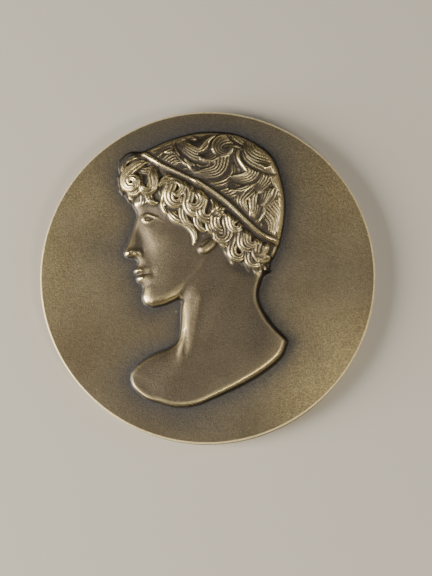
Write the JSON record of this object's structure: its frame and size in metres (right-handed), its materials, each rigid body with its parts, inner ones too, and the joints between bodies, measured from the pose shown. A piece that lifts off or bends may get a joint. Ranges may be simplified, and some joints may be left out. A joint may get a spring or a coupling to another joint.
{
  "type": "commemorative medal",
  "caption": "Round struck bronze medal with a flat plain field, a raised profile bust of a youth wearing a hair band on the front, and a flat plain back.",
  "frame": {"origin": "centre of the flat reverse", "axes": "+Z out of the obverse, towards the viewer of the bust; +Y up through the head to its crown; +X towards the back of the head"},
  "size_m": [0.068, 0.068, 0.0082],
  "materials": {
    "bronze": "brown patinated bronze with a fine matt grain, rubbed to a lighter gold brown on the high edges"
  },
  "bodies": {
    "root": {"medal": "bronze"}
  },
  "joints": []
}
